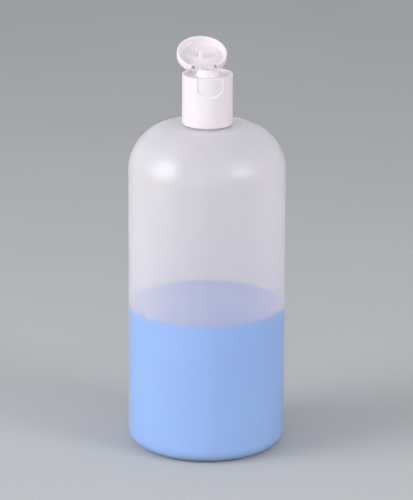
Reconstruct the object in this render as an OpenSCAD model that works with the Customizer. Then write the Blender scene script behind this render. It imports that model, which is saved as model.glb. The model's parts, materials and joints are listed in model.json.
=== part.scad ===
// Round squeeze bottle with a screwed-on flip-top cap, half full of liquid.
// The foot stands on z = 0 and the bottle's axis is the z axis.
// The hinge is at the back (+y) and the thumb recess at the front (-y).

/* [Bottle] */
// Outside diameter of the body
body_d = 90; // [76:1:120]
// Height of the shoulder's crown, where the neck begins
crown_h = 189.6; // [150:0.2:240]
// Radius of the rounded shoulder
shoulder_r = 26.3; // [18:0.1:29]
// Radius of the rounded edge of the foot
foot_r = 8; // [4:0.5:12]
// Thickness of the blown wall
wall = 1.2; // [0.8:0.1:2]
// Thickness of the base
base_wall = 1.8; // [1.2:0.1:3]
// Diameter of the push-up in the base, at the foot
push_up_d = 62; // [40:1:66]
// Height of the push-up in the middle of the base
push_up_h = 3; // [1:0.5:6]

/* [Neck] */
// Outside diameter of the neck under its thread
neck_d = 22.8; // [21:0.1:23.4]
// Diameter of the way through the neck
bore_d = 18.6; // [17:0.1:19.6]
// Height of the neck above the crown
neck_h = 26.4; // [18:0.2:32]
// Outside diameter of the neck's thread
thread_d = 25; // [24.2:0.1:27]
// Height of the collar under the cap
collar_h = 0.4; // [0.3:0.1:2]
// How far the collar lies inside the cap's side
collar_inset = 0.6; // [0.3:0.1:1]
// Rounding of the neck's lip
lip_r = 0.6; // [0.2:0.1:0.9]

/* [Cap] */
// Wall of the cap's skirt
cap_wall = 1.6; // [1.3:0.1:2.4]
// Room round the neck's thread
thread_gap = 0.3; // [0.2:0.1:0.6]
// Room between the cap and what it closes on
seat_gap = 0.3; // [0.2:0.1:0.5]
// Rounding of the cap's foot
cap_foot_r = 0.5; // [0.3:0.1:1.2]
// Thickness of the deck
deck_wall = 1.5; // [1.2:0.1:2.4]
// Depth of the deck below the rim
deck_depth = 1.4; // [0.8:0.1:2]
// Wall of the rim round the deck
rim_wall = 1.4; // [1.2:0.1:2]
// Rounding of the rim's edges
rim_r = 0.4; // [0.2:0.1:0.5]
// Length of the plug that seals the neck
plug_h = 3; // [2:0.2:6]
// Wall of the plug
plug_wall = 1; // [0.8:0.1:1.4]

/* [Nozzle] */
// Diameter of the nozzle's dome at the deck
nozzle_d = 13.2; // [12:0.2:16]
// Diameter of the flat top of the nozzle
nozzle_top_d = 9; // [6.6:0.2:9.6]
// Height of the nozzle above the deck
nozzle_h = 4.2; // [3.4:0.2:5]
// Diameter of the outlet
outlet_d = 4.6; // [3.6:0.2:5]
// Diameter of the hollow under the nozzle's top
hollow_d = 7.4; // [5.6:0.2:8]
// Thickness of the nozzle's top
nozzle_top_wall = 1.6; // [1.2:0.1:2]

/* [Thumb recess] */
// Width of the recess
thumb_w = 14.4; // [10:0.2:18]
// Height of the recess at its sides
thumb_side_h = 7.6; // [5:0.2:12]
// How far the recess's foot bows down in the middle
thumb_bow = 3.2; // [1:0.2:5]
// Depth of the recess
thumb_depth = 0.8; // [0.5:0.1:1]

/* [Flip lid] */
// Height of the lid
lid_h = 5; // [4.8:0.1:8]
// Wall of the lid's side
lid_wall = 1.4; // [1.2:0.1:2]
// Thickness of the lid's top
lid_top_wall = 1.3; // [1:0.1:1.6]
// Rounding of the lid's top edge
lid_edge_r = 2; // [0.6:0.1:2.4]
// Rounding inside the lid, between its side and its top
lid_dish_r = 1.2; // [0.4:0.1:2]
// Room between the rim and the closed lid
lid_gap = 0.2; // [0.1:0.05:0.4]
// Room round the sealing pin in the outlet
pin_gap = 0.65; // [0.55:0.05:0.8]
// Length of the sealing pin
pin_l = 4.4; // [3:0.1:4.8]
// Angle by which the lid stands open
lid_open = 153; // [0:1:180]

/* [Hinge] */
// Width of the notch at the back that the hinge leaves from
notch_w = 14.4; // [12:0.2:16]
// Depth of the notch at its ends
notch_depth = 1.2; // [0.4:0.1:1.6]
// Height of the notch in the cap's side
cap_notch_h = 2.2; // [1.4:0.1:2.8]
// Thickness of the lid's top over its notch
notch_roof = 1; // [0.6:0.1:1.2]
// Thickness of the straight wall in the notch
hinge_wall = 1.3; // [1:0.1:2]
// Width of the hinge's film
film_w = 11; // [8:0.2:12]
// Thickness of the film
film_t = 0.5; // [0.3:0.05:0.6]
// How far the hinge's line lies behind the cap's side
hinge_out = 0.5; // [0.4:0.1:1]
// Radius of the bead along the hinge's line
bead_r = 0.5; // [0.3:0.05:0.6]
// Room between the bead and the lid's half of the film
bead_gap = 0.3; // [0.2:0.05:0.4]

/* [Liquid] */
// Height of the liquid's surface above the foot
liquid_h = 82; // [30:1:150]
// Room between the liquid and the wall
liquid_gap = 0.2; // [0.1:0.05:0.4]

/* [Hidden] */
$fn = 128;
// Overlap that joins or clears neighbouring shapes
lap = 1;

body_r = body_d / 2;
crown_r = body_r - shoulder_r;
shoulder_z = crown_h - shoulder_r;
neck_top = crown_h + neck_h;
// Sphere of the push-up, through its rim and its crown
push_r = (pow(push_up_d / 2, 2) + pow(push_up_h, 2)) / (2 * push_up_h);

skirt_bore_d = thread_d + 2 * thread_gap;
cap_d = skirt_bore_d + 2 * cap_wall;
cap_r = cap_d / 2;
collar_d = cap_d - 2 * collar_inset;
cap_foot = crown_h + collar_h + seat_gap;
deck_under = neck_top + seat_gap;
deck_z = deck_under + deck_wall;
rim_z = deck_z + deck_depth;
plug_d = bore_d - 2 * seat_gap;
nozzle_z = deck_z + nozzle_h;
hollow_h = nozzle_z - nozzle_top_wall - deck_under;
// Depth of the dome's centre below the deck
dome_drop = (pow(nozzle_d / 2, 2) - pow(nozzle_top_d / 2, 2) - pow(nozzle_h, 2)) / (2 * nozzle_h);
dome_r = sqrt(pow(nozzle_d / 2, 2) + pow(dome_drop, 2));

lid_z = rim_z + lid_gap;
pin_d = outlet_d - 2 * pin_gap;
hinge_y = cap_r + hinge_out;
// The closed lid's half of the film lies over the bead on the hinge's line
hinge_z = lid_z - bead_gap - bead_r;
notch_y = sqrt(pow(cap_r, 2) - pow(notch_w / 2, 2)) - notch_depth;
hinge_wall_w = notch_w + rim_wall;
thumb_arc_r = (pow(thumb_w / 2, 2) + pow(thumb_bow, 2)) / (2 * thumb_bow);

// Half of the body's section, drawn in by inset all round
module body_section(inset) {
    r = body_r - inset;
    foot = foot_r - inset;
    shoulder = shoulder_r - inset;
    translate([0, foot_r]) square([r, shoulder_z - foot_r]);
    translate([0, inset]) square([r - foot, foot]);
    translate([r - foot, foot_r]) quarter_disc(foot, -1);
    translate([0, shoulder_z]) square([crown_r, shoulder]);
    translate([crown_r, shoulder_z]) quarter_disc(shoulder, 1);
}

// Quarter of a disc on the right, above (way 1) or below (way -1) its centre
module quarter_disc(r, way) {
    intersection() {
        circle(r);
        translate([0, way > 0 ? 0 : -r]) square(r);
    }
}

// Disc under the base that lifts the middle of the foot by rise
module push_up(rise) {
    intersection() {
        translate([0, push_up_h - push_r]) circle(push_r + rise);
        translate([0, -push_r]) square([push_r, 2 * push_r]);
    }
}

module bottle() {
    color("#e6e6ee", 0.55) rotate_extrude() difference() {
        union() {
            body_section(0);
            translate([0, crown_h - lap]) square([neck_d / 2, neck_h + lap - lip_r]);
            translate([0, neck_top - 2 * lip_r]) square([neck_d / 2 - lip_r, 2 * lip_r]);
            translate([neck_d / 2 - lip_r, neck_top - lip_r]) quarter_disc(lip_r, 1);
            translate([0, crown_h - lap]) square([collar_d / 2, collar_h + lap]);
        }
        push_up(0);
        difference() {
            body_section(wall);
            push_up(base_wall);
            square([body_r, base_wall]);
        }
        translate([0, crown_h - 2 * wall]) square([bore_d / 2, neck_h + 2 * wall + lap]);
    }
}

// Section of the cap before it is cut for the thumb and the hinge
module cap_section() {
    difference() {
        union() {
            translate([0, cap_foot + cap_foot_r]) square([cap_r, rim_z - rim_r - cap_foot - cap_foot_r]);
            translate([0, cap_foot]) square([cap_r - cap_foot_r, 2 * cap_foot_r]);
            translate([cap_r - cap_foot_r, cap_foot + cap_foot_r]) quarter_disc(cap_foot_r, -1);
            translate([0, rim_z - 2 * rim_r]) square([cap_r - rim_r, 2 * rim_r]);
            translate([cap_r - rim_r, rim_z - rim_r]) quarter_disc(rim_r, 1);
        }
        translate([0, cap_foot - lap]) square([skirt_bore_d / 2, deck_under - cap_foot + lap]);
        translate([0, deck_z]) square([cap_r - rim_wall, deck_depth + lap]);
    }
    nozzle_section();
    translate([plug_d / 2 - plug_wall, deck_under - plug_h]) square([plug_wall, plug_h + lap]);
}

// Dome of the nozzle, cut flat at its top
module nozzle_section() {
    intersection() {
        translate([0, deck_z - dome_drop]) circle(dome_r);
        translate([0, deck_z - lap]) square([nozzle_d / 2, nozzle_h + lap]);
    }
}

// Outline of the thumb recess, with its rim end at y = 0
module thumb_outline() {
    translate([-thumb_w / 2, -thumb_side_h]) square([thumb_w, thumb_side_h + lap]);
    intersection() {
        translate([0, thumb_arc_r - thumb_side_h - thumb_bow]) circle(thumb_arc_r);
        translate([-thumb_w / 2, -thumb_side_h - thumb_bow]) square([thumb_w, 2 * thumb_bow]);
    }
}

// Shell of the cap's side that the thumb recess takes away
module thumb_cut() {
    intersection() {
        difference() {
            translate([0, 0, cap_foot]) cylinder(r = cap_r + lap, h = rim_z - cap_foot + lap);
            translate([0, 0, cap_foot - lap]) cylinder(r = cap_r - thumb_depth, h = rim_z - cap_foot + 3 * lap);
        }
        translate([0, 0, rim_z]) rotate([90, 0, 0]) linear_extrude(cap_r + 2 * lap) thumb_outline();
    }
}

// Straight wall in the notch, from height z_low to height z_high
module notch_wall(z_low, z_high) {
    translate([-hinge_wall_w / 2, notch_y - hinge_wall, z_low])
        cube([hinge_wall_w, hinge_wall, z_high - z_low]);
}

// Room that the notch takes from a side, from height z_low to height z_high
module notch_cut(z_low, z_high) {
    translate([-notch_w / 2, notch_y, z_low]) cube([notch_w, cap_r, z_high - z_low]);
}

// Strip of film from the notch's wall to the hinge's line, with its underside at height z_low
module film(z_low) {
    translate([-film_w / 2, notch_y - hinge_wall / 2, z_low])
        cube([film_w, hinge_y - notch_y + hinge_wall / 2, film_t]);
}

module hinge_bead() {
    translate([-film_w / 2, hinge_y, hinge_z]) rotate([0, 90, 0]) cylinder(r = bead_r, h = film_w);
}

module cap() {
    color("#f4f2f4") {
        difference() {
            rotate_extrude() cap_section();
            translate([0, 0, deck_under - lap]) cylinder(d = hollow_d, h = hollow_h + lap);
            cylinder(d = outlet_d, h = nozzle_z + lap);
            thumb_cut();
            notch_cut(rim_z - cap_notch_h, rim_z + lap);
        }
        notch_wall(deck_z - deck_wall / 2, rim_z);
        film(hinge_z - film_t / 2);
        hinge_bead();
    }
}

// Section of the closed lid
module lid_section() {
    lid_top = lid_z + lid_h;
    dish_r = cap_r - lid_wall;
    dish_h = lid_h - lid_top_wall;
    difference() {
        union() {
            translate([0, lid_z + rim_r]) square([cap_r, lid_h - lid_edge_r - rim_r]);
            translate([0, lid_z]) square([cap_r - rim_r, 2 * rim_r]);
            translate([cap_r - rim_r, lid_z + rim_r]) quarter_disc(rim_r, -1);
            translate([0, lid_z + rim_r]) square([cap_r - lid_edge_r, lid_h - rim_r]);
            translate([cap_r - lid_edge_r, lid_top - lid_edge_r]) quarter_disc(lid_edge_r, 1);
        }
        translate([0, lid_z - lap]) square([dish_r, dish_h - lid_dish_r + lap]);
        translate([0, lid_z - lap]) square([dish_r - lid_dish_r, dish_h + lap]);
        translate([dish_r - lid_dish_r, lid_z + dish_h - lid_dish_r]) quarter_disc(lid_dish_r, 1);
    }
    translate([0, lid_top - lid_top_wall - pin_l]) square([pin_d / 2, pin_l + lid_top_wall / 2]);
}

module closed_lid() {
    difference() {
        rotate_extrude() lid_section();
        notch_cut(lid_z - lap, lid_z + lid_h - notch_roof);
    }
    notch_wall(lid_z, lid_z + lid_h - lid_top_wall / 2);
    film(lid_z);
}

module flip_lid() {
    color("#f6f4f6")
        translate([0, hinge_y, hinge_z]) rotate([-lid_open, 0, 0]) translate([0, -hinge_y, -hinge_z])
            closed_lid();
}

module liquid() {
    color("#8fb4fb", 0.75) rotate_extrude() difference() {
        intersection() {
            body_section(wall + liquid_gap);
            square([body_r, liquid_h]);
        }
        push_up(base_wall + liquid_gap);
        square([body_r, base_wall + liquid_gap]);
    }
}

bottle();
cap();
flip_lid();
liquid();
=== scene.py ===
# %% [markdown]
# A round squeeze bottle, dressed for its picture. The solids of the part are loaded as a fixed frame, and
# every piece made below takes its place from them: the blown bottle, the blue liquid in it, the white cap,
# the flip lid that stands open, and the film that joins the two. All sizes are in metres, and z points up
# along the bottle.

import json
import math

import bmesh
import bpy
from mathutils import Matrix, Vector


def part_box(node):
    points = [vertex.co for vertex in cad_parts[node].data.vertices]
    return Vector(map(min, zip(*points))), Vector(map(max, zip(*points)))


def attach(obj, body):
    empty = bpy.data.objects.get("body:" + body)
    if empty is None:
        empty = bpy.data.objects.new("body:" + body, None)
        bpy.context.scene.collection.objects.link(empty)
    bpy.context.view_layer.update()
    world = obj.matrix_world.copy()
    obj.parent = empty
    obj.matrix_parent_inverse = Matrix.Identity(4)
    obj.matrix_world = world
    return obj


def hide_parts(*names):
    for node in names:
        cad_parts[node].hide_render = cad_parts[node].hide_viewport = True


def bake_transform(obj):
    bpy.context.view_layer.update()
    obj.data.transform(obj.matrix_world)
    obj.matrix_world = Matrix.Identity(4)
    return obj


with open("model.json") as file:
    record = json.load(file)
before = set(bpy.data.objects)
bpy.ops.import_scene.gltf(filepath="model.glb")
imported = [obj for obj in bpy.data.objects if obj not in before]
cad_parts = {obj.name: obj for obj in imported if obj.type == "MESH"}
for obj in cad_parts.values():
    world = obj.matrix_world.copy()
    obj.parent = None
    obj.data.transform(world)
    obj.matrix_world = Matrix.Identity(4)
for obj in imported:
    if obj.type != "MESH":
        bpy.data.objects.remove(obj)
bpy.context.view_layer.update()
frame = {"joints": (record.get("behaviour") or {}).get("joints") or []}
MM = 0.001

# %% [markdown]
# The sections of a moulded piece are straight stretches and arcs. Arcs are worked out from their centre, so
# an edge is as round as the real moulding, and two small helpers give the points of both.

# %% Helpers for the stretches of a section


def arc(centre, radius, start, end, steps):
    """Points on an arc round centre, from one angle to another, in degrees from the r axis."""
    turns = [math.radians(start + (end - start) * i / steps) for i in range(steps + 1)]
    return [(centre[0] + radius * math.cos(t), centre[1] + radius * math.sin(t)) for t in turns]


def rows(first, last, count):
    """Evenly spaced points on a straight stretch of a section, without its last point."""
    return [
        (first[0] + (last[0] - first[0]) * i / count, first[1] + (last[1] - first[1]) * i / count)
        for i in range(count)
    ]


print("a quarter round in four steps:", len(arc((0, 0), 1, 0, 90, 4)), "points")

# %% [markdown]
# The whole bottle is turned: each piece is a section swung round the axis. Blender's Screw modifier or the
# Spin operator could do that, but the cap has a thumb recess and a notch for its hinge, which change the
# section on one side only. So one helper places rings of points by itself and lets a rule push single points
# in. Rings that lie on the axis are merged to a pole, and all faces are turned outwards.

# %% A helper for turned pieces
RING = 192
SHARP = math.radians(40)
MERGE = 1e-7
SLIVER = 1e-8


def write_mesh(made, mesh):
    """Turns the faces outwards, fills the mesh and marks its sharp edges."""
    bmesh.ops.recalc_face_normals(made, faces=made.faces)
    made.to_mesh(mesh)
    made.free()
    mesh.set_sharp_from_angle(angle=SHARP)
    print(mesh.name, "has", len(mesh.polygons), "faces")


def placed(name, mesh):
    """An object of the scene with this mesh."""
    piece = bpy.data.objects.new(name, mesh)
    bpy.context.scene.collection.objects.link(piece)
    return piece


def turned_piece(name, section, shape=None, closed=True, ring=RING, skin_from=None):
    """A mesh object swung from a section of (r, z) points; shape(index, x, y, z) may move single points.
    Faces from the section's point skin_from on take the second material."""
    mesh = bpy.data.meshes.new(name)
    made = bmesh.new()
    rings = []
    for index, (radius, height) in enumerate(section):
        ring_points = []
        for step in range(ring):
            turn = 2 * math.pi * step / ring
            point = (radius * math.cos(turn), radius * math.sin(turn), height)
            ring_points.append(made.verts.new(shape(index, *point) if shape else point))
        rings.append(ring_points)
    pairs = list(zip(rings, rings[1:]))
    if closed:
        pairs.append((rings[-1], rings[0]))
    for index, (lower, upper) in enumerate(pairs):
        for step in range(ring):
            after = (step + 1) % ring
            face = made.faces.new((lower[step], lower[after], upper[after], upper[step]))
            face.smooth = True
            face.material_index = int(skin_from is not None and index >= skin_from)
    bmesh.ops.remove_doubles(made, verts=made.verts, dist=MERGE)
    bmesh.ops.dissolve_degenerate(made, edges=made.edges, dist=SLIVER)
    write_mesh(made, mesh)
    return placed(name, mesh)


# %% [markdown]
# The materials come before the pieces, and each is one small node tree. All of them read the object's own
# coordinates, so a pattern stays on its piece when the piece moves, and each has a little noise in its
# colour, because no moulded surface is quite even. These helpers save writing the same few nodes for every
# finish.

# %% Helpers for node materials
NOISE_DETAIL = 3.0
RAMP_SPAN = (0.3, 0.7)


def new_material(name):
    """A material with its shader and the coordinates that its patterns read."""
    material = bpy.data.materials.new(name)
    material.use_nodes = True
    nodes = material.node_tree.nodes
    shader = nodes["Principled BSDF"]
    where = nodes.new("ShaderNodeTexCoord")
    return material, shader, where.outputs["Object"]


def noise(material, where, scale, stretch=(1, 1, 1)):
    """A noise pattern, stretched along the axes, and its factor."""
    nodes, links = material.node_tree.nodes, material.node_tree.links
    mapping = nodes.new("ShaderNodeMapping")
    mapping.inputs["Scale"].default_value = stretch
    pattern = nodes.new("ShaderNodeTexNoise")
    pattern.inputs["Scale"].default_value = scale
    pattern.inputs["Detail"].default_value = NOISE_DETAIL
    links.new(where, mapping.inputs["Vector"])
    links.new(mapping.outputs["Vector"], pattern.inputs["Vector"])
    return pattern.outputs["Fac"]


def ramp(material, factor, low, high):
    """Two colours that a factor runs between."""
    node = material.node_tree.nodes.new("ShaderNodeValToRGB")
    stops = node.color_ramp.elements
    stops[0].position, stops[1].position = RAMP_SPAN
    stops[0].color, stops[1].color = (*low, 1), (*high, 1)
    material.node_tree.links.new(factor, node.inputs["Fac"])
    return node.outputs["Color"]


def spread(material, factor, low, high):
    """A factor spread over a range of values."""
    node = material.node_tree.nodes.new("ShaderNodeMapRange")
    node.inputs["To Min"].default_value = low
    node.inputs["To Max"].default_value = high
    material.node_tree.links.new(factor, node.inputs["Value"])
    return node.outputs["Result"]


def bump(material, shader, factor, distance, strength):
    """A pattern raised on the surface by a real height."""
    node = material.node_tree.nodes.new("ShaderNodeBump")
    node.inputs["Distance"].default_value = distance
    node.inputs["Strength"].default_value = strength
    material.node_tree.links.new(factor, node.inputs["Height"])
    material.node_tree.links.new(node.outputs["Normal"], shader.inputs["Normal"])


# %% [markdown]
# The bottle is natural polyethylene, which is milky: it glows where light falls on it, and yet it shows the
# liquid's level. A volume inside the wall would be the true way, but it is slow and noisy in a wall this
# thin. Here each skin of the wall does a share of the work. Most light passes it, some is scattered back, and
# a Translucent shader scatters a little forward, into the bottle. The inside skin passes less where it is
# seen aslant, since the way through the wall is longer there, and that draws the bright edges. An index near
# 1 keeps the thin wall from bending the view, and a satin coat on top gives the soft gloss. The noise is
# drawn out upwards, like the faint streaks of a blown wall.

# %% Natural polyethylene for the bottle
STREAK_SCALE = 60
STREAK_STRETCH = (1, 1, 0.12)
STREAK_HEIGHT = 0.12 * MM
STREAK_STRENGTH = 0.35
MILKY_LOW = (0.97, 0.945, 0.965)
MILKY_HIGH = (0.995, 0.97, 0.985)
WALL_ROUGH = (0.02, 0.05)
WALL_IOR = 1.08
COAT = 1.0
COAT_ROUGH = 0.33
OUTSIDE_CLEAR = 0.75
INSIDE_CLEAR = 0.80
INSIDE_ASLANT = 0.05
FORWARD_GLOW = 0.14


def natural_polyethylene(name, clear, aslant=None):
    """Milky plastic: of the light that isn't scattered forward, clear is the share that passes straight
    through, or aslant, if given, where the light only grazes the skin."""
    material, shader, where = new_material(name)
    nodes, link = material.node_tree.nodes, material.node_tree.links.new
    streaks = noise(material, where, STREAK_SCALE, STREAK_STRETCH)
    colour = ramp(material, streaks, MILKY_LOW, MILKY_HIGH)
    link(colour, shader.inputs["Base Color"])
    link(spread(material, streaks, *WALL_ROUGH), shader.inputs["Roughness"])
    shader.inputs["Transmission Weight"].default_value = clear
    if aslant is not None:
        grazing = nodes.new("ShaderNodeLayerWeight").outputs["Facing"]
        link(spread(material, grazing, clear, aslant), shader.inputs["Transmission Weight"])
    shader.inputs["IOR"].default_value = WALL_IOR
    shader.inputs["Coat Weight"].default_value = COAT
    shader.inputs["Coat Roughness"].default_value = COAT_ROUGH
    bump(material, shader, streaks, STREAK_HEIGHT, STREAK_STRENGTH)
    forward = nodes.new("ShaderNodeBsdfTranslucent")
    link(colour, forward.inputs["Color"])
    both = nodes.new("ShaderNodeMixShader")
    both.inputs["Fac"].default_value = FORWARD_GLOW
    link(shader.outputs["BSDF"], both.inputs[1])
    link(forward.outputs["BSDF"], both.inputs[2])
    link(both.outputs["Shader"], nodes["Material Output"].inputs["Surface"])
    return material


bottle_plastic = natural_polyethylene("natural_polyethylene", OUTSIDE_CLEAR)
inside_plastic = natural_polyethylene("natural_polyethylene_inside", INSIDE_CLEAR, INSIDE_ASLANT)
print("wall:", bottle_plastic.name, "outside,", inside_plastic.name, "inside")

# %% [markdown]
# The cap and the lid are white polypropylene, a denser plastic. Light enters it by a millimetre or two only,
# so a little subsurface scattering softens the shade in the recess and the dish. It is a warm white, and its
# skin is smooth with a very fine grain from the mould.

# %% White polypropylene for the cap and the lid
CLOUD_SCALE = 140
WHITE_LOW = (0.82, 0.765, 0.79)
WHITE_HIGH = (0.85, 0.79, 0.815)
WHITE_ROUGH = (0.30, 0.40)
SOFT_SHARE = 0.25
SOFT_DEPTH = 1.5 * MM
SOFT_BY_COLOUR = (1.0, 0.9, 0.85)
GRAIN_SCALE = 1800
GRAIN_HEIGHT = 0.01 * MM
GRAIN_STRENGTH = 0.4


def white_polypropylene():
    """Dense white plastic with a soft depth and a fine mould grain."""
    material, shader, where = new_material("white_polypropylene")
    link = material.node_tree.links.new
    clouds = noise(material, where, CLOUD_SCALE)
    link(ramp(material, clouds, WHITE_LOW, WHITE_HIGH), shader.inputs["Base Color"])
    link(spread(material, clouds, *WHITE_ROUGH), shader.inputs["Roughness"])
    shader.inputs["Subsurface Weight"].default_value = SOFT_SHARE
    shader.inputs["Subsurface Radius"].default_value = SOFT_BY_COLOUR
    shader.inputs["Subsurface Scale"].default_value = SOFT_DEPTH
    grain = noise(material, where, GRAIN_SCALE)
    bump(material, shader, grain, GRAIN_HEIGHT, GRAIN_STRENGTH)
    return material


cap_plastic = white_polypropylene()
print("closure:", cap_plastic.name)

# %% [markdown]
# The liquid is a clear blue. Clear glass would show the far wall through it, but through milky plastic a deep
# liquid looks like one even colour, so it is mostly diffuse with a wet skin. Its surface, which faces the
# light from above, gets a darker blue than its side: painted shade, in a shaded copy of the liquid's
# material.

# %% Blue liquid
LIQUID_SCALE = 14
LIQUID_ROUGH = 0.03
LIQUID_CLEAR = 0.05
LIQUID_IOR = 1.33
LIQUID_GLOSS = 0.1
SIDE_THIN = (0.18, 0.48, 1.0)
SIDE_DEEP = (0.15, 0.44, 1.0)
# The surface's colours are painted shade: a darker blue for the liquid's lit top.
SHADED_SURFACE_THIN = (0.04, 0.26, 0.95)
SHADED_SURFACE_DEEP = (0.03, 0.22, 0.9)


def blue_liquid(name, thin, deep):
    """Clear blue liquid, with its colour where it looks thin and where it looks deep."""
    material, shader, where = new_material(name)
    link = material.node_tree.links.new
    clouds = noise(material, where, LIQUID_SCALE)
    link(ramp(material, clouds, deep, thin), shader.inputs["Base Color"])
    shader.inputs["Roughness"].default_value = LIQUID_ROUGH
    shader.inputs["Transmission Weight"].default_value = LIQUID_CLEAR
    shader.inputs["IOR"].default_value = LIQUID_IOR
    shader.inputs["Specular IOR Level"].default_value = LIQUID_GLOSS
    return material


liquid_blue = blue_liquid("blue_liquid", SIDE_THIN, SIDE_DEEP)
# The surface gets the darker colours, painted shade on the lit top.
shaded_surface_blue = blue_liquid("blue_liquid_shaded_surface", SHADED_SURFACE_THIN, SHADED_SURFACE_DEEP)
print("liquid:", liquid_blue.name, "at the side,", shaded_surface_blue.name, "on top")

# %% [markdown]
# The bottle is one blown shell. Its outer sizes come from the frame, and the rest are those of the solid: the
# round shoulder and foot, the push-up that keeps the base from rocking, and the neck with its low collar. The
# push-up is part of a sphere, which its width and height settle.

# %% The bottle's sizes
bottle_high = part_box("bottle")[1]
body_r = bottle_high.x
neck_top = bottle_high.z
WALL = 1.2 * MM
BASE_WALL = 1.8 * MM
SHOULDER_R = 26.3 * MM
FOOT_R = 8 * MM
PUSH_UP_R = 31 * MM
PUSH_UP_H = 3 * MM
NECK_H = 26.4 * MM
NECK_R = 11.4 * MM
BORE_R = 9.3 * MM
LIP_R = 0.6 * MM
COLLAR_R = 13.8 * MM
COLLAR_H = 0.4 * MM
COLLAR_EDGE = 0.2 * MM
crown_h = neck_top - NECK_H
crown_r = body_r - SHOULDER_R
shoulder_z = crown_h - SHOULDER_R
push_sphere = (PUSH_UP_R**2 + PUSH_UP_H**2) / (2 * PUSH_UP_H)
push_turn = math.degrees(math.asin(PUSH_UP_R / push_sphere))
push_centre = (0, PUSH_UP_H - push_sphere)
print("body", round(2 * body_r / MM, 1), "mm across, crown", round(crown_h / MM, 1), "mm up")

# %% [markdown]
# The section runs up the outside from the push-up, over the shoulder and the neck, and back down the inside,
# so the wall has its true thickness and light passes through two real surfaces. Round stretches get the most
# points, and the straight side needs only a few.

# %% The bottle
PUSH_STEPS = 12
FOOT_STEPS = 14
INNER_FOOT_STEPS = 12
BODY_ROWS = 12
SHOULDER_STEPS = 40
LIP_STEPS = 6
EDGE_STEPS = 4


def floor_points(edge_r, rise):
    """The inside of the base: its rounded edge, its flat floor that much above the foot, and the push-up."""
    sphere = push_sphere + rise
    dip = math.degrees(math.asin((FOOT_R - rise) / edge_r))
    turn = math.degrees(math.acos((rise - push_centre[1]) / sphere))
    edge = arc((body_r - FOOT_R, FOOT_R), edge_r, 0, -dip, INNER_FOOT_STEPS)
    return edge + arc(push_centre, sphere, 90 - turn, 90, PUSH_STEPS)


def bottle_section():
    """Section of the shell, up the outside and down the inside, and the number of its outside points."""
    collar_centre = (COLLAR_R - COLLAR_EDGE, crown_h + COLLAR_H - COLLAR_EDGE)
    points = arc(push_centre, push_sphere, 90, 90 - push_turn, PUSH_STEPS)
    points += arc((body_r - FOOT_R, FOOT_R), FOOT_R, -90, 0, FOOT_STEPS)
    points += rows((body_r, FOOT_R), (body_r, shoulder_z), BODY_ROWS)[1:]
    points += arc((crown_r, shoulder_z), SHOULDER_R, 0, 90, SHOULDER_STEPS)
    points += [(COLLAR_R, crown_h)]
    points += arc(collar_centre, COLLAR_EDGE, 0, 90, EDGE_STEPS)
    points += [(NECK_R, crown_h + COLLAR_H)]
    points += arc((NECK_R - LIP_R, neck_top - LIP_R), LIP_R, 0, 90, LIP_STEPS)
    outside = len(points)
    points += [(BORE_R, neck_top), (BORE_R, crown_h - WALL)]
    points += arc((crown_r, shoulder_z), SHOULDER_R - WALL, 90, 0, SHOULDER_STEPS)
    points += rows((body_r - WALL, shoulder_z), (body_r - WALL, FOOT_R), BODY_ROWS)[1:]
    points += floor_points(FOOT_R - WALL, BASE_WALL)
    return points, outside


shell_section, shell_outside = bottle_section()
bottle = turned_piece("bottle_shell", shell_section, closed=False, skin_from=shell_outside)
bottle.data.materials.append(bottle_plastic)
bottle.data.materials.append(inside_plastic)
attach(bottle, "bottle")
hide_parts("bottle")

# %% [markdown]
# A screw thread is a ridge that follows a helix. Modelled by hand it would need every ring placed twice over,
# so Geometry Nodes draw it in three parts: the path is a spiral that keeps its radius, the profile has four
# sides and rounded corners, and a scale along the path falls to nothing at both ends, as a moulded thread
# runs out into its wall.

# %% Path, profile and run-out of a helical ridge
HELIX_POINTS = 72
RUN_OUT = 0.08
SPIRAL_INPUTS = {"Rotations": "Turns", "Start Radius": "Radius", "End Radius": "Radius", "Height": "Rise"}
RIDGE_CORNERS = ["Foot low", "Crest low", "Crest high", "Foot high"]


def ridge_path(tree, given):
    """The helix, on which a profile stays upright."""
    add, link = tree.nodes.new, tree.links.new
    spiral = add("GeometryNodeCurveSpiral")
    spiral.inputs["Resolution"].default_value = HELIX_POINTS
    for socket, name in SPIRAL_INPUTS.items():
        link(given[name], spiral.inputs[socket])
    upright = add("GeometryNodeSetCurveNormal")
    upright.mode = "Z_UP"
    link(spiral.outputs["Curve"], upright.inputs["Curve"])
    return upright.outputs["Curve"]


def ridge_profile(tree, given):
    """The four sides of the ridge, with rounded corners."""
    add, link = tree.nodes.new, tree.links.new
    sides = add("GeometryNodeCurvePrimitiveQuadrilateral")
    sides.mode = "POINTS"
    for number, name in enumerate(RIDGE_CORNERS, 1):
        link(given[name], sides.inputs[f"Point {number}"])
    rounded = add("GeometryNodeFilletCurve")
    rounded.mode = "POLY"
    link(sides.outputs["Curve"], rounded.inputs["Curve"])
    link(given["Edge"], rounded.inputs["Radius"])
    return rounded.outputs["Curve"]


def ridge_run_out(tree):
    """A scale that grows from nothing at the path's start and falls to nothing at its end."""
    add, link = tree.nodes.new, tree.links.new
    along = add("GeometryNodeSplineParameter")
    both = add("ShaderNodeMath")
    both.operation = "MULTIPLY"
    for slot, (start, full) in enumerate(((0, RUN_OUT), (1, 1 - RUN_OUT))):
        fade = add("ShaderNodeMapRange")
        fade.interpolation_type = "SMOOTHSTEP"
        fade.inputs["From Min"].default_value = start
        fade.inputs["From Max"].default_value = full
        link(along.outputs["Factor"], fade.inputs["Value"])
        link(fade.outputs["Result"], both.inputs[slot])
    return both.outputs["Value"]


print("a ridge has", len(RIDGE_CORNERS), "corners and fades over", RUN_OUT, "of its length")

# %% [markdown]
# The node group sweeps the profile along the path. Its sizes are named inputs, so one group serves both the
# neck's thread and the cap's. It ends by making its result real and giving it a material, which the export
# needs.

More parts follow.
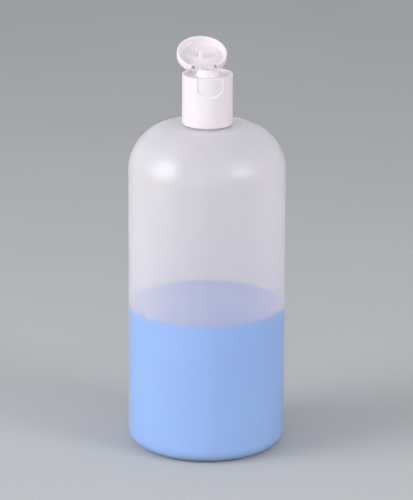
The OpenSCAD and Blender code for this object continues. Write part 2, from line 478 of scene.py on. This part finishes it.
# %% The node group of a helical ridge
RIDGE_INPUTS = {"Radius": "Float", "Turns": "Float", "Rise": "Float", "Edge": "Float", "Material": "Material"}
RIDGE_INPUTS.update({name: "Vector" for name in RIDGE_CORNERS})


def helical_ridge():
    """A node group that sweeps a ridge along a helix, and the identifiers of its inputs."""
    tree = bpy.data.node_groups.new("helical_ridge", "GeometryNodeTree")
    ids = {}
    for name, kind in RIDGE_INPUTS.items():
        socket = tree.interface.new_socket(name, in_out="INPUT", socket_type="NodeSocket" + kind)
        ids[name] = socket.identifier
    tree.interface.new_socket("Geometry", in_out="OUTPUT", socket_type="NodeSocketGeometry")
    add, link = tree.nodes.new, tree.links.new
    given, result = add("NodeGroupInput").outputs, add("NodeGroupOutput").inputs
    sweep = add("GeometryNodeCurveToMesh")
    sweep.inputs["Fill Caps"].default_value = True
    link(ridge_path(tree, given), sweep.inputs["Curve"])
    link(ridge_profile(tree, given), sweep.inputs["Profile Curve"])
    link(ridge_run_out(tree), sweep.inputs["Scale"])
    real = add("GeometryNodeRealizeInstances")
    paint = add("GeometryNodeSetMaterial")
    link(sweep.outputs["Mesh"], real.inputs["Geometry"])
    link(real.outputs["Geometry"], paint.inputs["Geometry"])
    link(given["Material"], paint.inputs["Material"])
    link(paint.outputs["Geometry"], result["Geometry"])
    return tree, ids


ridge_tree, ridge_ids = helical_ridge()
print("the ridge's nodes:", len(ridge_tree.nodes))

# %% [markdown]
# The neck's thread is such a ridge, raised outwards and set a little into the neck's wall. The result is
# turned into a plain mesh, so the piece no longer depends on the nodes.

# %% The neck's thread
THREAD_PITCH = 3.2 * MM
THREAD_TURNS = 2.2
THREAD_DEPTH = 1.1 * MM
THREAD_FOOT_W = 1.8 * MM
THREAD_CREST_W = 0.9 * MM
THREAD_BURIED = 0.2 * MM
THREAD_EDGE = 0.2 * MM
THREAD_DROP = 10.5 * MM
thread_z = neck_top - THREAD_DROP


def ridge_piece(name, height, values):
    """The helical ridge as a plain mesh object that starts at a height, with the named inputs set."""
    piece = placed(name, bpy.data.meshes.new(name))
    nodes = piece.modifiers.new("ridge", "NODES")
    nodes.node_group = ridge_tree
    for socket, value in values.items():
        nodes[ridge_ids[socket]] = value
    seen = piece.evaluated_get(bpy.context.evaluated_depsgraph_get())
    mesh = bpy.data.meshes.new_from_object(seen)
    piece.modifiers.clear()
    piece.data = mesh
    made = bmesh.new()
    made.from_mesh(mesh)
    bmesh.ops.remove_doubles(made, verts=made.verts, dist=MERGE)
    bmesh.ops.translate(made, verts=made.verts, vec=(0, 0, height))
    write_mesh(made, mesh)
    return piece


def thread_values(radius, outwards, material):
    """The inputs of a thread on a wall of this radius, raised outwards (1) or inwards (-1)."""
    return {
        "Radius": radius,
        "Turns": THREAD_TURNS,
        "Rise": THREAD_PITCH * THREAD_TURNS,
        "Edge": THREAD_EDGE,
        "Material": material,
        "Foot low": (-THREAD_BURIED * outwards, -THREAD_FOOT_W / 2 * outwards, 0),
        "Crest low": (THREAD_DEPTH * outwards, -THREAD_CREST_W / 2 * outwards, 0),
        "Crest high": (THREAD_DEPTH * outwards, THREAD_CREST_W / 2 * outwards, 0),
        "Foot high": (-THREAD_BURIED * outwards, THREAD_FOOT_W / 2 * outwards, 0),
    }


neck_thread = ridge_piece("neck_thread", thread_z, thread_values(NECK_R, 1, bottle_plastic))
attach(neck_thread, "bottle")

# %% [markdown]
# The liquid wets the wall: its skin climbs a little where it meets the plastic. The solid leaves a hair of
# air between liquid and wall, which a picture would show as a false second cylinder, so this piece reaches
# just into the wall.

# %% The liquid
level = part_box("liquid")[1].z
SOAK = 0.04 * MM
MENISCUS_R = 2.0 * MM
MENISCUS_H = 0.9 * MM
CLIMB_STEPS = 8
CLIMB_POWER = 3
WET_ROWS = 6
wet_r = body_r - WALL + SOAK


def liquid_section():
    """Section of the liquid, from the middle of the floor to that of its surface, and where this begins."""
    points = list(reversed(floor_points(FOOT_R - WALL + SOAK, BASE_WALL - SOAK)))
    points += rows((wet_r, FOOT_R), (wet_r, level + MENISCUS_H), WET_ROWS)[1:]
    side = len(points)
    for i in range(CLIMB_STEPS + 1):
        share = i / CLIMB_STEPS
        points.append((wet_r - MENISCUS_R * share, level + MENISCUS_H * (1 - share) ** CLIMB_POWER))
    points.append((0, level))
    return points, side


wet_section, wet_side = liquid_section()
liquid = turned_piece("blue_liquid", wet_section, closed=False, skin_from=wet_side)
liquid.data.materials.append(liquid_blue)
liquid.data.materials.append(shaded_surface_blue)
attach(liquid, "bottle")
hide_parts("liquid")

# %% [markdown]
# The cap is a closure moulded in one: a skirt with its thread, a deck a little below the rim, a domed nozzle
# with the outlet, and below the deck a plug that seals the neck. Its outer sizes and the hinge's line come
# from the frame. The dome is part of a sphere through the nozzle's foot and its top edge.

# %% The cap's sizes
cap_low, cap_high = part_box("cap")
hinge = next(joint for joint in frame["joints"] if joint["name"] == "lid_hinge")
hinge_y, hinge_z = hinge["pos_m"][1], hinge["pos_m"][2]
cap_r = cap_high.x
cap_foot = cap_low.z
nozzle_z = cap_high.z
DECK_DEPTH = 1.4 * MM
DECK_WALL = 1.5 * MM
RIM_WALL = 1.4 * MM
RIM_EDGE = 0.4 * MM
CAP_FOOT_R = 0.5 * MM
SKIRT_R = 12.8 * MM
PLUG_R = 9.0 * MM
PLUG_WALL = 1.0 * MM
PLUG_H = 3.0 * MM
NOZZLE_H = 4.2 * MM
NOZZLE_R = 6.6 * MM
NOZZLE_TOP_R = 4.5 * MM
NOZZLE_TOP_WALL = 1.6 * MM
OUTLET_R = 2.3 * MM
HOLLOW_R = 3.7 * MM
EDGE = 0.25 * MM
deck_z = nozzle_z - NOZZLE_H
rim_z = deck_z + DECK_DEPTH
deck_under = deck_z - DECK_WALL
dome_drop = (NOZZLE_R**2 - NOZZLE_TOP_R**2 - NOZZLE_H**2) / (2 * NOZZLE_H)
dome_r = math.hypot(NOZZLE_R, dome_drop)
print("cap", round(2 * cap_r / MM, 1), "mm across, rim", round(rim_z / MM, 1), "mm up")

# %% [markdown]
# In two places the cap isn't round. At the front the thumb recess lets a thumb get under the lid: points of
# the side inside its outline are pushed in, with a soft edge. At the back the side has a notch with a
# straight wall, which the hinge's film leaves from. A boolean cut could make both, but pushing points keeps
# clean rows of faces.

# %% The thumb recess and the hinge's notch
NOTCH_W = 14.4 * MM
NOTCH_DEPTH = 1.2 * MM
NOTCH_H = 2.2 * MM
NOTCH_WALL = 1.3 * MM
THUMB_W = 14.4 * MM
THUMB_SIDE_H = 7.6 * MM
THUMB_BOW = 3.2 * MM
THUMB_DEPTH = 0.8 * MM
THUMB_SOFT = 0.5 * MM
HAIR = 0.01 * MM
notch_y = math.sqrt(cap_r**2 - (NOTCH_W / 2) ** 2) - NOTCH_DEPTH
thumb_arc = ((THUMB_W / 2) ** 2 + THUMB_BOW**2) / (2 * THUMB_BOW)
thumb_foot = rim_z - THUMB_SIDE_H - THUMB_BOW


def smooth_step(value):
    """0 below 0, 1 above 1, and a smooth run between."""
    share = min(1.0, max(0.0, value))
    return share * share * (3 - 2 * share)


def notch_push(part, x, y):
    """The place of a point across the notch: its outside ends at the notch, its inside behind the straight
    wall. All points on one line of the section move together, so the notch has clean corners."""
    if part not in ("notch", "inner"):
        return y
    half, limit = NOTCH_W / 2, notch_y
    if part == "inner":
        half, limit = half + RIM_WALL, limit - NOTCH_WALL
    across = cap_r * abs(x) / math.hypot(x, y)
    return min(y, limit) if across < half - HAIR else y


def thumb_push(x, z):
    """How far the side is pushed in at a point of the cap's front."""
    if abs(x) >= THUMB_W / 2 + THUMB_SOFT:
        return 0.0
    reach = math.sqrt(max(0.0, thumb_arc**2 - x**2))
    foot = thumb_foot + thumb_arc - reach
    inside = min(THUMB_W / 2 - abs(x), z - foot)
    return THUMB_DEPTH * smooth_step((inside + THUMB_SOFT / 2) / THUMB_SOFT)


print("the recess is", round(thumb_push(0, rim_z) / MM, 2), "mm deep at the rim")

# %% [markdown]
# The cap's section goes once round the wall: up the side from the skirt's foot, over the rim, across the deck
# and the nozzle, and back down the inside. It is kept as named stretches, so that the two pushes know which
# points they may move. The side has close rows where the recess lies, to give its outline a clean edge.

# %% The cap's section
CAP_FOOT_STEPS = 8
PLAIN_ROWS = 6
RECESS_ROWS = 72
NOTCH_ROWS = 10
RIM_STEPS = 6
DOME_STEPS = 16
DOME_TRIM = 3
FILLET_OUT = 0.6
FILLET_UP = 0.4
TOP_DROP = 0.15
OUTLET_BEVEL = 0.3
STEP = 0.06 * MM


def dome_points():
    """The nozzle's dome from the deck up to the rounded edge of its flat top."""
    centre = (0, deck_z - dome_drop)
    low = math.degrees(math.atan2(dome_drop, NOZZLE_R))
    high = math.degrees(math.atan2(NOZZLE_H + dome_drop, NOZZLE_TOP_R))
    points = [(NOZZLE_R + 2 * EDGE, deck_z)]
    points += [(NOZZLE_R + FILLET_OUT * EDGE, deck_z + FILLET_UP * EDGE)]
    points += arc(centre, dome_r, low + DOME_TRIM, high - DOME_TRIM, DOME_STEPS)
    points += [(NOZZLE_TOP_R - EDGE, nozzle_z - TOP_DROP * EDGE), (NOZZLE_TOP_R - 2 * EDGE, nozzle_z)]
    return points


def side_points():
    """The skirt's foot and the side up to the notch."""
    side_low = (cap_r, cap_foot + CAP_FOOT_R)
    recess_low = (cap_r, thumb_foot - 2 * THUMB_SOFT)
    side_high = (cap_r, rim_z - NOTCH_H - STEP)
    points = [(SKIRT_R, cap_foot + EDGE), (SKIRT_R + EDGE, cap_foot)]
    points += arc((cap_r - CAP_FOOT_R, cap_foot + CAP_FOOT_R), CAP_FOOT_R, -90, 0, CAP_FOOT_STEPS)
    points += rows(side_low, recess_low, PLAIN_ROWS)[1:]
    points += rows(recess_low, side_high, RECESS_ROWS)
    return points + [side_high]


def inside_points():
    """From the outlet's edge down through the nozzle's hollow, and over the plug out to the skirt."""
    hollow_top = nozzle_z - NOZZLE_TOP_WALL
    plug_in = PLUG_R - PLUG_WALL
    plug_low = deck_under - PLUG_H
    points = [(OUTLET_R + EDGE, nozzle_z)]
    points += [(OUTLET_R + OUTLET_BEVEL * EDGE, nozzle_z - OUTLET_BEVEL * EDGE)]
    points += [(OUTLET_R, nozzle_z - EDGE), (OUTLET_R, hollow_top)]
    points += [(HOLLOW_R, hollow_top), (HOLLOW_R, deck_under)]
    points += [(plug_in, deck_under), (plug_in, plug_low), (PLUG_R - EDGE, plug_low)]
    points += [(PLUG_R, plug_low + 2 * EDGE), (PLUG_R, deck_under), (SKIRT_R, deck_under)]
    return points


def cap_sections():
    """Section of the cap as stretches: (name, points), round from the skirt's foot and back to it."""
    deck_r = cap_r - RIM_WALL
    edge_z = rim_z - RIM_EDGE
    notch = rows((cap_r, rim_z - NOTCH_H), (cap_r, edge_z), NOTCH_ROWS)
    notch += arc((cap_r - RIM_EDGE, edge_z), RIM_EDGE, 0, 90, RIM_STEPS)
    inner = arc((deck_r + RIM_EDGE, edge_z), RIM_EDGE, 90, 180, RIM_STEPS)
    inner += arc((deck_r - EDGE, deck_z + EDGE), EDGE, 0, -90, EDGE_STEPS)
    deck = dome_points() + inside_points()
    return [("side", side_points()), ("notch", notch), ("inner", inner), ("deck", deck)]


cap_stretches = cap_sections()
cap_section = [point for _, points in cap_stretches for point in points]
cap_parts = [name for name, points in cap_stretches for _ in points]
print("the cap's section has", len(cap_section), "points")

# %% [markdown]
# Now the section is swung round, with more steps than the bottle has, because the recess and the notch need
# them for their upright edges. Where the recess meets the rim, the points of the rim stay behind the pushed
# side, so the thin wall there doesn't fold over itself.

# %% The cap
CLOSURE_RING = 360


def cap_shape(index, x, y, z):
    """Pushes in the thumb recess at the front and the hinge's notch at the back."""
    part = cap_parts[index]
    radius = math.hypot(x, y)
    if y < 0 and part != "deck" and radius > SKIRT_R + HAIR:
        push = thumb_push(x, z)
        outer = part != "inner" and radius > SKIRT_R + CAP_FOOT_R
        pushed = radius - push if outer else min(radius, cap_r - RIM_EDGE - push)
        x, y = x * pushed / radius, y * pushed / radius
    return x, notch_push(part, x, y), z


cap = turned_piece("cap_body", cap_section, cap_shape, ring=CLOSURE_RING)
cap.data.materials.append(cap_plastic)
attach(cap, "cap")
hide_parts("cap")

# %% [markdown]
# Inside the skirt runs the thread that grips the neck's. It is the same ridge from the same nodes, raised
# inwards and set half a pitch lower, so that the two lie between each other with room to turn.

# %% The cap's thread
cap_thread_z = thread_z - THREAD_PITCH / 2
cap_thread = ridge_piece("cap_thread", cap_thread_z, thread_values(SKIRT_R, -1, cap_plastic))
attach(cap_thread, "cap")

# %% [markdown]
# The lid is turned in its shut place, notched at the hinge like the cap, and then swung open about the
# hinge's line, as far as the photographed one stands. Inside it is a rounded dish with the pin that seals the
# outlet.

# %% The flip lid
LID_OPEN = 153
LID_GAP = 0.2 * MM
LID_H = 5.0 * MM
LID_WALL = 1.4 * MM
LID_TOP_WALL = 1.3 * MM
LID_EDGE = 2.0 * MM
LID_HOLLOW = 1.2 * MM
NOTCH_ROOF = 1.0 * MM
PIN_R = 1.65 * MM
PIN_L = 4.4 * MM
LID_EDGE_STEPS = 12
ROOF_STEPS = 8
ROOF_TRIM = 1
LID_ROWS = 6
DISH_STEPS = 10
lid_z = rim_z + LID_GAP
lid_top = lid_z + LID_H
lid_ceiling = lid_top - LID_TOP_WALL
swing = (
    Matrix.Translation((0, hinge_y, hinge_z))
    @ Matrix.Rotation(-math.radians(LID_OPEN), 4, "X")
    @ Matrix.Translation((0, -hinge_y, -hinge_z))
)


def lid_sections():
    """Section of the shut lid as stretches, from the top's middle round to the tip of the sealing pin."""
    dish_r = cap_r - LID_WALL
    edge = (cap_r - LID_EDGE, lid_top - LID_EDGE)
    rim = lid_z + RIM_EDGE
    pin_tip = lid_ceiling - PIN_L
    roof = math.degrees(math.asin(1 - NOTCH_ROOF / LID_EDGE))
    top = [(0, lid_top)] + arc(edge, LID_EDGE, 90, roof + ROOF_TRIM, LID_EDGE_STEPS)
    notch = arc(edge, LID_EDGE, roof, 0, ROOF_STEPS)
    notch += rows((cap_r, edge[1]), (cap_r, rim), LID_ROWS)[1:]
    notch += arc((cap_r - RIM_EDGE, rim), RIM_EDGE, 0, -90, RIM_STEPS)
    inner = arc((dish_r + RIM_EDGE, rim), RIM_EDGE, -90, -180, RIM_STEPS)
    inner += arc((dish_r - LID_HOLLOW, lid_ceiling - LID_HOLLOW), LID_HOLLOW, 0, 90, DISH_STEPS)
    pin = arc((PIN_R + EDGE, lid_ceiling - EDGE), EDGE, 90, 180, EDGE_STEPS)
    pin += arc((PIN_R - EDGE, pin_tip + EDGE), EDGE, 0, -90, EDGE_STEPS) + [(0, pin_tip)]
    return [("top", top), ("notch", notch), ("inner", inner), ("pin", pin)]


lid_stretches = lid_sections()
lid_section = [point for _, points in lid_stretches for point in points]
lid_parts = [name for name, points in lid_stretches for _ in points]


def lid_shape(index, x, y, z):
    """Cuts the notch at the hinge and swings the point open with the lid."""
    return swing @ Vector((x, notch_push(lid_parts[index], x, y), z))


lid = turned_piece("flip_lid_shell", lid_section, lid_shape, closed=False, ring=CLOSURE_RING)
lid.data.materials.append(cap_plastic)
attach(lid, "lid")
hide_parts("flip_lid")

# %% [markdown]
# The film between cap and lid is what really bends. It is a thin strip that leaves the wall in the cap's
# notch, passes the hinge's line and ends in the lid's notch. Its path is a curve that the hinge's line pulls
# towards itself.

# %% The hinge's film
FILM_W = 11 * MM
FILM_T = 0.5 * MM
FILM_STEPS = 24
FILM_CORNERS = [(-1, -1), (1, -1), (1, 1), (-1, 1)]
film_root = Vector((0, notch_y - NOTCH_WALL / 2, hinge_z))
film_line = Vector((0, hinge_y, hinge_z))
film_end = swing @ Vector((0, notch_y - NOTCH_WALL / 2, lid_z + FILM_T / 2))


def film_path():
    """Points along the film's middle, from the cap's notch to the lid's."""
    shares = [i / FILM_STEPS for i in range(FILM_STEPS + 1)]
    return [film_root * (1 - t) ** 2 + film_line * 2 * t * (1 - t) + film_end * t**2 for t in shares]


def film_ring(made, point, along):
    """The four corners of the strip at a point of its path."""
    normal = Vector((0, -along.z, along.y)).normalized()
    ring = []
    for side, up in FILM_CORNERS:
        ring.append(made.verts.new(point + Vector((FILM_W / 2 * side, 0, 0)) + normal * FILM_T / 2 * up))
    return ring


def hinge_film():
    """A strip of film along its path, closed at both ends."""
    path = film_path()
    mesh = bpy.data.meshes.new("hinge_film")
    made = bmesh.new()
    rings = []
    for i, point in enumerate(path):
        along = path[min(i + 1, FILM_STEPS)] - path[max(i - 1, 0)]
        rings.append(film_ring(made, point, along))
    sides = len(FILM_CORNERS)
    for low, high in zip(rings, rings[1:]):
        for i in range(sides):
            j = (i + 1) % sides
            made.faces.new((low[i], low[j], high[j], high[i]))
    made.faces.new(rings[0])
    made.faces.new(rings[-1])
    for face in made.faces:
        face.smooth = True
    write_mesh(made, mesh)
    return placed("hinge_film", mesh)


film = hinge_film()
film.data.materials.append(cap_plastic)
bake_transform(film)
print("film runs", round((film_end - film_root).length / MM, 2), "mm across the hinge")

# %% [markdown]
# A plain pale floor runs far enough to fill every view. It is matt, because a glossy one would mirror the
# lamps as white patches when the bottle is seen from the side.

# %% The floor
FLOOR_SIZE = 24.0
FLOOR_SCALE = 3
FLOOR_LOW = (0.52, 0.53, 0.545)
FLOOR_HIGH = (0.55, 0.56, 0.575)
FLOOR_ROUGH = 0.9
FLOOR_GLOSS = 0.1


def pale_floor():
    """A matt grey-white with a very faint cloudiness."""
    material, shader, where = new_material("pale_floor")
    grain = noise(material, where, FLOOR_SCALE)
    colour = ramp(material, grain, FLOOR_LOW, FLOOR_HIGH)
    material.node_tree.links.new(colour, shader.inputs["Base Color"])
    shader.inputs["Roughness"].default_value = FLOOR_ROUGH
    shader.inputs["Specular IOR Level"].default_value = FLOOR_GLOSS
    return material


def make_floor():
    """One large square at the height that the bottle stands on."""
    mesh = bpy.data.meshes.new("floor")
    half = FLOOR_SIZE / 2
    corners = [(-half, -half, 0), (half, -half, 0), (half, half, 0), (-half, half, 0)]
    mesh.from_pydata(corners, [], [(0, 1, 2, 3)])
    mesh.materials.append(pale_floor())
    floor = placed("floor", mesh)


make_floor()
print("floor", FLOOR_SIZE, "m square")

# %% [markdown]
# Large soft lamps stand left and right, with the stronger one on the left, where the photographed bottle is
# brightest, and a weak one in front. Their spread is limited, as by a grid before a soft box, so that they
# light the bottle without burning out the floor beside them.

# %% The lamps
LAMP_SPREAD = math.radians(100)
LAMP_AIM = Vector((0, 0, 0.115))
LAMPS = {
    "key_left": {"place": (-1.32, -0.38, 0.59), "size": 1.1, "watts": 5.4},
    "fill_right": {"place": (0.99, -0.90, 0.70), "size": 0.7, "watts": 2.25},
    "front": {"place": (-0.35, -1.60, 0.35), "size": 1.4, "watts": 1.4},
}


def soft_lamp(name, place, size, watts):
    """A round soft box that looks at the bottle's middle."""
    data = bpy.data.lights.new(name, "AREA")
    data.shape = "DISK"
    data.size = size
    data.energy = watts
    data.spread = LAMP_SPREAD
    lamp = bpy.data.objects.new(name, data)
    lamp.location = place
    lamp.rotation_euler = (LAMP_AIM - Vector(place)).to_track_quat("-Z", "Y").to_euler()
    bpy.context.scene.collection.objects.link(lamp)


for lamp_name, lamp_values in LAMPS.items():
    soft_lamp(lamp_name, **lamp_values)
print("lamps:", ", ".join(LAMPS))

# %% [markdown]
# The world is pale at the horizon and a little darker above, so upright sides come out lighter than what
# faces up, as in a room with light walls.

# %% The world
HORIZON = (0.62, 0.63, 0.65)
ZENITH = (0.47, 0.475, 0.49)


def pale_world():
    """A soft grade of light from the horizon up."""
    world = bpy.data.worlds.new("pale_room")
    world.use_nodes = True
    nodes, link = world.node_tree.nodes, world.node_tree.links.new
    where = nodes.new("ShaderNodeTexCoord")
    split = nodes.new("ShaderNodeSeparateXYZ")
    shade = nodes.new("ShaderNodeValToRGB")
    stops = shade.color_ramp.elements
    stops[0].color, stops[1].color = (*HORIZON, 1), (*ZENITH, 1)
    link(where.outputs["Generated"], split.inputs["Vector"])
    link(split.outputs["Z"], shade.inputs["Fac"])
    link(shade.outputs["Color"], nodes["Background"].inputs["Color"])
    bpy.context.scene.world = world
    return world


print("world:", pale_world().name)

# %% [markdown]
# The camera stands at the photograph's angle, a little left of the front and above the cap. Its distance
# settles the perspective, and the lens follows from how many pixels of the picture one metre takes there.

# %% The camera
VIEW_AZIMUTH = -6.5
VIEW_ELEVATION = 17.0
VIEW_DISTANCE = 2.0
VIEW_ROLL = 0.25
IMAGE_H = 500
PIXELS_PER_M = 1744.0
AIM_HEIGHT = 0.1149
AIM_SIDE = -0.0002
SENSOR = 36.0


def make_camera():
    """A camera at a distance from its aim, rolled as the photograph is."""
    turn, rise = math.radians(VIEW_AZIMUTH), math.radians(VIEW_ELEVATION)
    back = Vector((math.sin(turn) * math.cos(rise), -math.cos(turn) * math.cos(rise), math.sin(rise)))
    side = Vector((math.cos(turn), math.sin(turn), 0))
    aim = Vector((0, 0, AIM_HEIGHT)) + side * AIM_SIDE
    data = bpy.data.cameras.new("camera")
    data.sensor_width = SENSOR
    data.lens = SENSOR * PIXELS_PER_M * VIEW_DISTANCE / IMAGE_H
    camera = bpy.data.objects.new("camera", data)
    camera.location = aim + back * VIEW_DISTANCE
    roll = Matrix.Rotation(math.radians(VIEW_ROLL), 3, "Z")
    camera.rotation_euler = ((-back).to_track_quat("-Z", "Y").to_matrix() @ roll).to_euler()
    bpy.context.scene.collection.objects.link(camera)
    bpy.context.scene.camera = camera
    print("camera lens", round(data.lens, 1), "mm")


make_camera()
bpy.context.scene.view_settings.view_transform = "Standard"
